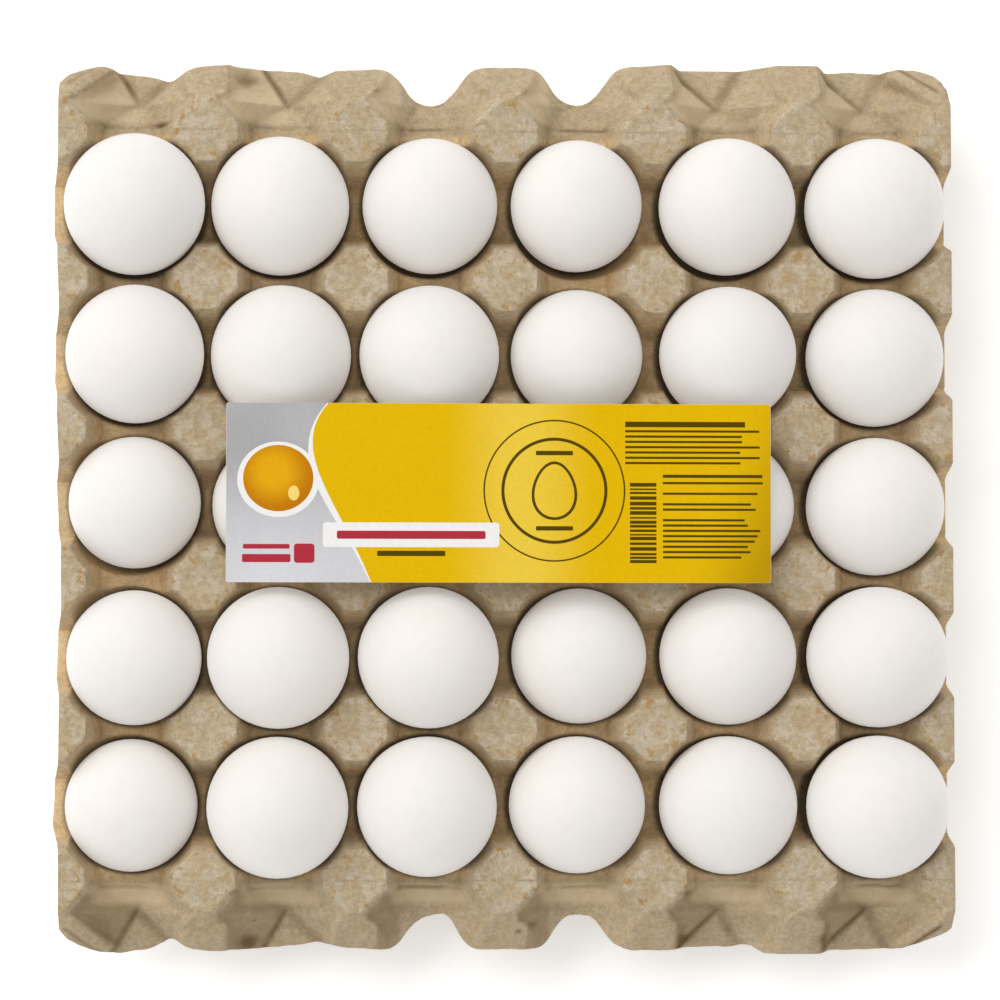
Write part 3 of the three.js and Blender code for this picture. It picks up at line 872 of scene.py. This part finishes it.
def add_egg(node, number, material):
    """One egg in place of its solid, a trace smaller all round, with its own uneven outline."""
    low, axis, length, half = egg_size(node)
    side = np.cross(axis, [0.0, 1.0, 0.0])
    side /= np.linalg.norm(side)
    other = np.cross(axis, side)
    points, faces = [low + axis * 0.02], []
    for band in range(1, EGG_BANDS):
        turn = math.pi * band / EGG_BANDS
        around = 2 * math.pi * np.arange(EGG_SECTORS) / EGG_SECTORS
        out = half * math.sin(turn) * (1 - EGG_TAPER * math.cos(turn))
        u, v = np.cos(around), np.sin(around)
        swell = noise(u * 2 + number * 7.3, v * 2 + turn * 1.3, 1.6, 31)
        fine = noise(u * 9 + number * 3.1, v * 9 + turn * 6, 1.3, 32)
        out = out * (1 - 0.004 * (1 + swell)) - 0.02 * (1 + fine)
        height = length / 2 * (1 - math.cos(turn))
        ring = low + axis * height + side * (out * u)[:, None] + other * (out * v)[:, None]
        points += list(ring)
    points.append(low + axis * (length - 0.02))
    for k in range(EGG_SECTORS):
        n = (k + 1) % EGG_SECTORS
        faces.append([0, 1 + n, 1 + k])
        for band in range(EGG_BANDS - 2):
            a, b = 1 + band * EGG_SECTORS, 1 + (band + 1) * EGG_SECTORS
            faces.append([a + k, a + n, b + n, b + k])
        last = 1 + (EGG_BANDS - 2) * EGG_SECTORS
        faces.append([last + k, last + n, len(points) - 1])
    name = "shell" + node.removeprefix("egg")
    egg = mesh_object(name, points, faces, material, 80)
    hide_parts(node)


# ---- the printed card
CARD_LOW, CARD_HIGH = (np.array(corner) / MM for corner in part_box("label_card"))
CARD_MIDDLE = (CARD_LOW + CARD_HIGH) / 2
CARD_HALF = (CARD_HIGH - CARD_LOW) / 2
PAPER = 0.3  # thickness of the paper itself
INK = 0.03  # thickness of one layer of print
FIRST, SECOND, THIRD, FOURTH = (PAPER + layer * INK for layer in (1, 2, 3, 4))
EDGE_GAP = 0.05  # between the print and the paper's far and near edges


class Prisms:
    """Flat shapes on the card, each a closed skin between two levels above the paper's underside."""

    def __init__(self):
        self.points, self.faces = [], []

    def lift(self, outline, level):
        for x, y in outline:
            self.points.append((CARD_MIDDLE[0] + x, CARD_MIDDLE[1] + y, CARD_LOW[2] + level))

    def plate(self, outline, low, high):
        start, count = len(self.points), len(outline)
        self.lift(outline, low)
        self.lift(outline, high)
        self.faces.append([start + count + k for k in range(count)])
        self.faces.append([start + k for k in reversed(range(count))])
        for k in range(count):
            n = (k + 1) % count
            self.faces.append([start + k, start + n, start + count + n, start + count + k])

    def band(self, inner, outer, low, high):
        """A closed ring between two outlines with the same number of points."""
        start, count = len(self.points), len(inner)
        for outline, level in ((inner, low), (outer, low), (outer, high), (inner, high)):
            self.lift(outline, level)
        for k in range(count):
            n = (k + 1) % count
            for part in range(4):
                a, b = start + part * count, start + (part + 1) % 4 * count
                self.faces.append([a + k, b + k, b + n, a + n])

    def bar(self, x, y, width, depth, level, corner=0.0):
        self.plate(rounded(x, y, width, depth, corner), PAPER, level)

    def made(self, name, ink, colour):
        return mesh_object(name, self.points, self.faces, print_material(ink, colour))


def rounded(x, y, width, depth, corner=0.0, steps=8):
    """Outline of a rectangle round (x, y), anticlockwise, with rounded corners."""
    if corner <= 0:
        return [(x + a * width / 2, y + b * depth / 2) for a, b in ((-1, -1), (1, -1), (1, 1), (-1, 1))]
    found = []
    for quarter, (a, b) in enumerate(((1, 1), (-1, 1), (-1, -1), (1, -1))):
        for k in range(steps + 1):
            turn = math.pi / 2 * (quarter + k / steps)
            u, v = corner * math.cos(turn), corner * math.sin(turn)
            found.append((x + a * (width / 2 - corner) + u, y + b * (depth / 2 - corner) + v))
    return found


def oval(x, y, half_width, half_depth, steps=72, egg=0.0, grow=0.0):
    """An ellipse, or with egg above zero an egg with its small end up."""
    found = []
    for k in range(steps):
        turn = 2 * math.pi * k / steps
        across = math.cos(turn) * (1 - egg * math.sin(turn))
        found.append((x + (half_width + grow) * across, y + (half_depth + grow) * math.sin(turn)))
    return found


FIELD_BEND = (-41.4, -23.8, -9.0, -18.5, 37.5)  # its curve, as the factors of a polynomial


def field_edge(share, shift=0.0):
    """The curve between the card's pale end and its yellow field, from the near edge up."""
    y = (2 * share - 1) * (CARD_HALF[1] - EDGE_GAP)
    x = sum(factor * share**k for k, factor in enumerate(FIELD_BEND))
    return (x + shift, y)


CURVE_STEPS = 40
CURVE = [field_edge(k / CURVE_STEPS) for k in range(CURVE_STEPS + 1)]


def print_material(name, colour):
    """Ink on coated paper, with a faint mottle and a soft gloss."""
    n = Nodes(name, Specular_IOR_Level=0.06)
    mottle = n.noise(1.1, 3.0, 0.6)
    base = colour(n) if callable(colour) else colour
    shade = n.mix(n.ramp(mottle, 0.3, 0.7, 0.0, 0.06), base, rgb(0, 0, 0))
    gloss = n.ramp(n.noise(18.0), 0.3, 0.7, 0.36, 0.46)
    return n.finish(shade, gloss, n.bump(n.noise(30.0, 2.0), 0.6, 0.35))


def yellow_field(n):
    """The yellow field, lighter in a band across it and darker towards its right-hand corner."""
    x = n.along("X")
    glow = n.ramp(n.math("ABSOLUTE", n.math("SUBTRACT", x, 0.004)), 0.002, 0.026, 0.75, 0.0)
    shade = n.mix(glow, rgb(226, 181, 0), rgb(238, 206, 76))
    slant = n.math("SUBTRACT", x, n.times(n.along("Y"), 0.35))
    far = n.ramp(slant, 0.064, 0.098, 0.0, 0.85)
    return n.mix(far, shade, rgb(172, 134, 8))


def pale_field(n):
    """Soft greys, lighter towards the near edge."""
    tone = n.mix(n.ramp(n.along("Y"), -0.022, 0.018), rgb(214, 214, 219), rgb(170, 169, 171))
    cloud = n.noise(30.0, 1.0, 0.3)
    return n.mix(n.ramp(cloud, 0.36, 0.64, 0.0, 0.35), tone, rgb(194, 194, 197))


YOLK = (-71.4, 4.6)  # middle of the printed disc
TITLE = (-28.5, -13.6)  # middle of the white bar and of the red one on it


def yolk(n):
    """A warm disc, deeper towards its rim. It is palest a little up and left of its middle."""
    palest = (CARD_MIDDLE[0] + YOLK[0] - 1.5, CARD_MIDDLE[1] + YOLK[1] + 2.0, CARD_HIGH[2])
    away = n.add("ShaderNodeVectorMath", operation="DISTANCE")
    n.put(away.inputs[0], n.place())
    n.put(away.inputs[1], [place * MM for place in palest])
    out = n.ramp(away.outputs["Value"], 0.003, 0.013)
    return n.mix(out, rgb(228, 168, 22), rgb(192, 118, 8))


def text_rows(ink, left, top, rows, longest, bold, gaps=()):
    """Rows of plain bars that stand for lines of small print, under a bold top row."""
    for k in range(rows):
        if k in gaps:
            continue
        long = longest * (0.86 + 0.13 * float(hashed(np.array(k), np.array(rows), 9)))
        level = top - 1.72 * k - (0.5 if k else 0.0)
        ink.bar(left + long / 2, level, long, 0.72 if k else bold, SECOND)


def bar_code(ink, x, top, bars, width):
    """Bars of made-up thickness and spacing, one below the other."""

    def amount(k, seed):
        return float(hashed(np.array(k), np.array(seed), 5) * 0.5 + 0.5)

    place = top
    for k in range(bars):
        thick = 0.45 + 0.75 * amount(k, 3)
        place -= thick / 2
        ink.bar(x, place, width, thick, SECOND)
        place -= thick / 2 + 0.35 + 0.4 * amount(k, 8)


def add_fields():
    """The yellow field and the pale end, which meet along the field's curved edge."""
    low = PAPER - 0.02
    right, left, edge = CARD_HALF[0] - 0.1, -CARD_HALF[0] + 0.1, CARD_HALF[1] - EDGE_GAP
    yellow = Prisms()
    yellow.plate([CURVE[0], (right - 0.6, -edge), (right, -edge + 0.6), (right, edge - 0.6),
                  (right - 0.6, edge)] + CURVE[:0:-1], low, FIRST)
    yellow.made("card_yellow_field", "ink_yellow", yellow_field)
    pale = Prisms()
    pale.plate([(left, -edge + 0.6), (left + 0.6, -edge)] + [(x - 0.02, y) for x, y in CURVE]
               + [(left + 0.6, edge), (left, edge - 0.6)], low, FIRST)
    pale.made("card_pale_field", "ink_pale", pale_field)


def add_picture():
    """The white line along the curve, the white bar, and the disc in its white ring."""
    white, swoosh = Prisms(), []
    for k in range(CURVE_STEPS, -1, -1):
        share = k / CURVE_STEPS
        swoosh.append(field_edge(share, -0.5 - 2.0 * math.sin(math.pi * share) ** 2))
    white.plate(swoosh + CURVE, PAPER, SECOND)
    white.bar(*TITLE, 57.0, 8.0, THIRD, 1.2)
    white.plate(oval(YOLK[0], YOLK[1] - 0.4, 13.2, 12.2), PAPER, SECOND + INK / 2)
    white.made("card_white_shapes", "ink_white", rgb(240, 238, 236))
    disc = Prisms()
    disc.plate(oval(*YOLK, 11.3, 10.7), PAPER, THIRD)
    disc.made("card_yolk_disc", "ink_yolk", yolk)
    glint = Prisms()
    glint.plate(oval(YOLK[0] + 5.0, YOLK[1] - 4.8, 1.8, 2.4), PAPER, FOURTH)
    glint.made("card_yolk_glint", "ink_glint", rgb(246, 214, 120))


def add_red_print():
    red = Prisms()
    red.bar(-75.2, -17.4, 15.0, 1.5, SECOND, 0.4)
    red.bar(-75.2, -21.2, 15.6, 2.6, SECOND, 0.5)
    red.bar(-63.0, -19.6, 6.6, 6.2, SECOND, 1.0)
    red.bar(*TITLE, 48.0, 2.6, FOURTH, 0.6)
    red.made("card_red_bars", "ink_red", rgb(176, 52, 66))


def add_dark_print():
    """Two rings round an egg's outline, a line, a bar code and two blocks of small print."""
    dark = Prisms()
    ring = (17.8, 0.8)
    for radius, line in ((23.0, 0.5), (17.2, 1.0)):
        inner, outer = (oval(*ring, reach, reach, 96) for reach in (radius - line, radius))
        dark.band(inner, outer, PAPER, SECOND)
    dark.band(oval(*ring, 6.4, 8.6, 72, 0.16), oval(*ring, 6.4, 8.6, 72, 0.16, 0.9), PAPER, SECOND)
    for height in (-12.2, 12.2):
        dark.bar(ring[0], ring[1] + height, 12.0, 1.4, SECOND, 0.3)
    dark.bar(-28.5, -19.6, 22.0, 1.7, SECOND, 0.4)
    bar_code(dark, 46.6, 3.4, 18, 8.6)
    text_rows(dark, 40.8, 22.4, 8, 45.0, 1.75)
    text_rows(dark, 53.0, 5.6, 16, 33.0, 1.0, gaps=(2, 4, 7))
    dark.made("card_dark_lines", "ink_dark", rgb(84, 68, 12))


def add_card():
    paper = Prisms()
    paper.plate(rounded(0, 0, *(2 * CARD_HALF[:2] - 0.02), 0.8), 0.0, PAPER)
    card = paper.made("card_paper", "paper_core", rgb(226, 220, 205))
    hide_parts("label_card")
    add_fields()
    add_picture()
    add_red_print()
    add_dark_print()


# ---- stage, light and camera
def add_stage():
    """A wide white floor with a faint glow, as a backdrop lit from below has."""
    n = Nodes("floor", Specular_IOR_Level=0.2, Roughness=0.9,
              Emission_Color=(1, 1, 1, 1), Emission_Strength=0.32)
    material = n.finish(n.mix(n.noise(300.0, 2.0), rgb(250, 250, 250), rgb(252, 252, 252)))
    mesh = bpy.data.meshes.new("floor")
    far = 3.0
    corners = [(-far, -far, 0), (far, -far, 0), (far, far, 0), (-far, far, 0)]
    mesh.from_pydata(corners, [], [(0, 1, 2, 3)])
    mesh.materials.append(material)
    placed("floor", mesh)


def add_light():
    """Even light from all round and one wide soft lamp, far left and above."""
    world = bpy.data.worlds.new("studio")
    world.use_nodes = True
    background = world.node_tree.nodes["Background"]
    background.inputs["Color"].default_value = (1.0, 0.995, 0.985, 1.0)
    background.inputs["Strength"].default_value = 0.66
    bpy.context.scene.world = world
    lamp = bpy.data.lights.new("window", "AREA")
    lamp.shape = "DISK"
    lamp.size = 3.4
    lamp.energy = 94.0
    lamp.color = (1.0, 0.99, 0.975)
    place = np.array([-2.0, 1.7, 3.1])
    aim(placed("window", lamp), place, -place / np.linalg.norm(place), (0, 0, 1))
    bpy.context.scene.view_settings.view_transform = "Standard"


def aim(made, place, direction, up):
    """Puts a camera or lamp at a place, looking along a direction."""
    back = -Vector(direction).normalized()
    right = Vector(up).cross(back).normalized()
    made.location = place
    made.rotation_mode = "QUATERNION"
    made.rotation_quaternion = Matrix((right, back.cross(right), back)).transposed().to_quaternion()


CAMERA_DISTANCE = 1.3
CAMERA_LEAN = (-3.2, -3.0)  # degrees that the camera stands left of and nearer than overhead
CAMERA_TARGET = (-1.95, 1.37, POST)
MM_PER_PIXEL = 0.3267


def add_camera():
    lean = [math.tan(math.radians(a)) for a in CAMERA_LEAN]
    back = np.array([lean[0], lean[1], 1.0])
    back /= np.linalg.norm(back)
    data = bpy.data.cameras.new("camera")
    data.sensor_width = 36.0
    data.lens = 36.0 * CAMERA_DISTANCE / (1000 * MM_PER_PIXEL * MM)
    data.clip_start, data.clip_end = 0.1, 20.0
    camera = placed("camera", data)
    aim(camera, np.array(CAMERA_TARGET) * MM + back * CAMERA_DISTANCE, -back, (0, 1, 0))
    bpy.context.scene.camera = camera


# ---- everything together
add_camera()
add_light()
add_stage()
add_tray()
shell = shell_material()
for index, egg_node in enumerate(sorted(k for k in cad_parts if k.startswith("egg_"))):
    add_egg(egg_node, index, shell)
add_card()
